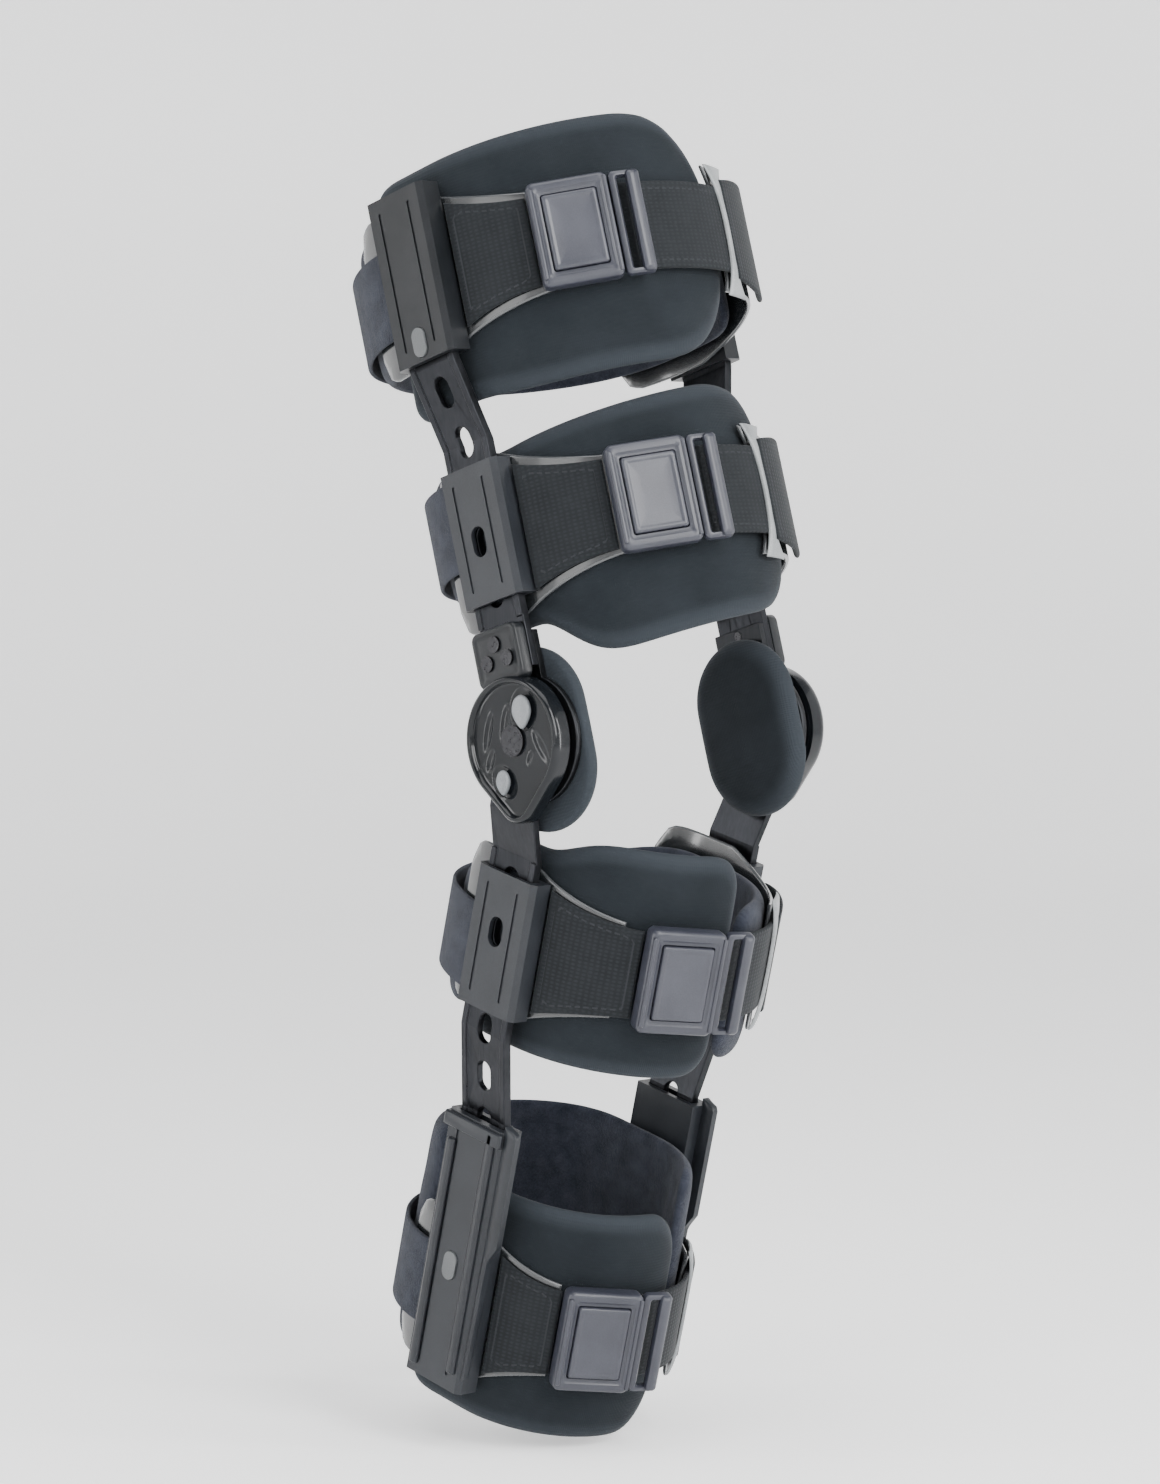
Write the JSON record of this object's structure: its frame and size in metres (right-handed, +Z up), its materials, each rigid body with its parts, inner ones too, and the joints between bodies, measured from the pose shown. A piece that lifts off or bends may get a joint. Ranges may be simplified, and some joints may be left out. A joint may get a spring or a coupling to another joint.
{
  "type": "hinged knee brace",
  "caption": "Hinged post-operative knee brace with telescoping side bars, dial hinges, padded cuffs and buckled straps.",
  "frame": {"origin": "centre of the knee hinge axis, midway between the two hinges", "axes": "+X forward, +Y towards the medial hinge along the knee axis, +Z up; the knee rests bent by 30 degrees"},
  "size_m": [0.2122, 0.1782, 0.5679],
  "materials": {
    "bar_metal": "black anodised, satin",
    "hinge_metal": "black anodised, satin",
    "hinge_plastic": "gloss",
    "pin_steel": "dark brushed",
    "dial_plastic": "satin",
    "foam_cloth": "brushed knit over foam",
    "loop_cloth": "napped loop cloth",
    "webbing": "woven webbing",
    "wing_plastic": "semi-gloss moulded",
    "housing_plastic": "semi-gloss moulded",
    "button_plastic": "satin",
    "buckle_plastic": "satin moulded"
  },
  "bodies": {
    "thigh_frame": {"lateral_thigh_bar": "bar_metal", "medial_thigh_bar": "bar_metal", "lateral_hinge_base": "hinge_metal", "medial_hinge_base": "hinge_metal", "lateral_hinge_cover": "hinge_plastic", "medial_hinge_cover": "hinge_plastic", "hinge_axles": "pin_steel", "hinge_rivets": "pin_steel", "lateral_condyle_pad": "foam_cloth", "medial_condyle_pad": "foam_cloth"},
    "shank_frame": {"lateral_shank_bar": "bar_metal", "medial_shank_bar": "bar_metal"},
    "upper_thigh_cuff": {"upper_thigh_sleeves": "housing_plastic", "upper_thigh_wings": "wing_plastic", "upper_thigh_front_pad": "foam_cloth", "upper_thigh_back_pad": "loop_cloth", "upper_thigh_front_strap": "webbing", "upper_thigh_back_strap": "webbing", "upper_thigh_buckle": "buckle_plastic", "upper_thigh_tongue": "buckle_plastic"},
    "lower_thigh_cuff": {"lower_thigh_carriages": "housing_plastic", "lower_thigh_wings": "wing_plastic", "lower_thigh_front_pad": "foam_cloth", "lower_thigh_back_pad": "loop_cloth", "lower_thigh_front_strap": "webbing", "lower_thigh_back_strap": "webbing", "lower_thigh_buckle": "buckle_plastic", "lower_thigh_tongue": "buckle_plastic"},
    "upper_calf_cuff": {"upper_calf_carriages": "housing_plastic", "upper_calf_wings": "wing_plastic", "upper_calf_front_pad": "foam_cloth", "upper_calf_back_pad": "loop_cloth", "upper_calf_front_strap": "webbing", "upper_calf_back_strap": "webbing", "upper_calf_buckle": "buckle_plastic", "upper_calf_tongue": "buckle_plastic"},
    "lower_calf_cuff": {"lower_calf_sleeves": "housing_plastic", "lower_calf_wings": "wing_plastic", "lower_calf_front_pad": "foam_cloth", "lower_calf_back_pad": "loop_cloth", "lower_calf_front_strap": "webbing", "lower_calf_back_strap": "webbing", "lower_calf_buckle": "buckle_plastic", "lower_calf_tongue": "buckle_plastic"},
    "upper_thigh_push_button": {"upper_thigh_push_button": "buckle_plastic"},
    "lower_thigh_push_button": {"lower_thigh_push_button": "buckle_plastic"},
    "upper_calf_push_button": {"upper_calf_push_button": "buckle_plastic"},
    "lower_calf_push_button": {"lower_calf_push_button": "buckle_plastic"},
    "lateral_thigh_length_button": {"lateral_thigh_length_button": "button_plastic"},
    "medial_thigh_length_button": {"medial_thigh_length_button": "button_plastic"},
    "lateral_calf_length_button": {"lateral_calf_length_button": "button_plastic"},
    "medial_calf_length_button": {"medial_calf_length_button": "button_plastic"},
    "lateral_flexion_stop": {"lateral_flexion_stop": "dial_plastic"},
    "lateral_extension_stop": {"lateral_extension_stop": "dial_plastic"},
    "medial_flexion_stop": {"medial_flexion_stop": "dial_plastic"},
    "medial_extension_stop": {"medial_extension_stop": "dial_plastic"}
  },
  "joints": [
    {"name": "knee_flexion", "type": "hinge", "parent": "thigh_frame", "child": "shank_frame", "pos_m": [0, 0, 0], "axis": [0, 1, 0], "range_deg": [-30, 60]},
    {"name": "thigh_length", "type": "slide", "parent": "thigh_frame", "child": "upper_thigh_cuff", "axis": [-0.2756, 0, 0.9613], "range_m": [0, 0.043]},
    {"name": "lower_thigh_cuff_slide", "type": "slide", "parent": "thigh_frame", "child": "lower_thigh_cuff", "axis": [-0.2756, 0, 0.9613], "range_m": [-0.006, 0.008]},
    {"name": "upper_calf_cuff_slide", "type": "slide", "parent": "shank_frame", "child": "upper_calf_cuff", "axis": [-0.2419, 0, -0.9703], "range_m": [-0.006, 0.008]},
    {"name": "calf_length", "type": "slide", "parent": "shank_frame", "child": "lower_calf_cuff", "axis": [-0.2419, 0, -0.9703], "range_m": [0, 0.043]},
    {"name": "upper_thigh_push_button_press", "type": "slide", "parent": "upper_thigh_cuff", "child": "upper_thigh_push_button", "axis": [-0.7364, 0.6428, -0.2111], "range_m": [0, 0.0018], "stiffness_N_per_m": 800, "springref_m": -0.001},
    {"name": "lower_thigh_push_button_press", "type": "slide", "parent": "lower_thigh_cuff", "child": "lower_thigh_push_button", "axis": [-0.7969, 0.5592, -0.2285], "range_m": [0, 0.0018], "stiffness_N_per_m": 800, "springref_m": -0.001},
    {"name": "upper_calf_push_button_press", "type": "slide", "parent": "upper_calf_cuff", "child": "upper_calf_push_button", "axis": [-0.8932, 0.3907, 0.2227], "range_m": [0, 0.0018], "stiffness_N_per_m": 800, "springref_m": -0.001},
    {"name": "lower_calf_push_button_press", "type": "slide", "parent": "lower_calf_cuff", "child": "lower_calf_push_button", "axis": [-0.8645, 0.454, 0.2156], "range_m": [0, 0.0018], "stiffness_N_per_m": 800, "springref_m": -0.001},
    {"name": "lateral_thigh_length_button_press", "type": "slide", "parent": "upper_thigh_cuff", "child": "lateral_thigh_length_button", "axis": [0, 1, 0], "range_m": [0, 0.001], "stiffness_N_per_m": 800, "springref_m": -0.001},
    {"name": "medial_thigh_length_button_press", "type": "slide", "parent": "upper_thigh_cuff", "child": "medial_thigh_length_button", "axis": [0, -1, 0], "range_m": [0, 0.001], "stiffness_N_per_m": 800, "springref_m": -0.001},
    {"name": "lateral_calf_length_button_press", "type": "slide", "parent": "lower_calf_cuff", "child": "lateral_calf_length_button", "axis": [0, 1, 0], "range_m": [0, 0.001], "stiffness_N_per_m": 800, "springref_m": -0.001},
    {"name": "medial_calf_length_button_press", "type": "slide", "parent": "lower_calf_cuff", "child": "medial_calf_length_button", "axis": [0, -1, 0], "range_m": [0, 0.001], "stiffness_N_per_m": 800, "springref_m": -0.001},
    {"name": "lateral_flexion_stop_turn", "type": "hinge", "parent": "thigh_frame", "child": "lateral_flexion_stop", "pos_m": [0, 0, 0], "axis": [0, 1, 0], "range_deg": [-24, 24]},
    {"name": "lateral_extension_stop_turn", "type": "hinge", "parent": "thigh_frame", "child": "lateral_extension_stop", "pos_m": [0, 0, 0], "axis": [0, 1, 0], "range_deg": [-24, 24]},
    {"name": "medial_flexion_stop_turn", "type": "hinge", "parent": "thigh_frame", "child": "medial_flexion_stop", "pos_m": [0, 0, 0], "axis": [0, 1, 0], "range_deg": [-24, 24]},
    {"name": "medial_extension_stop_turn", "type": "hinge", "parent": "thigh_frame", "child": "medial_extension_stop", "pos_m": [0, 0, 0], "axis": [0, 1, 0], "range_deg": [-24, 24]}
  ]
}
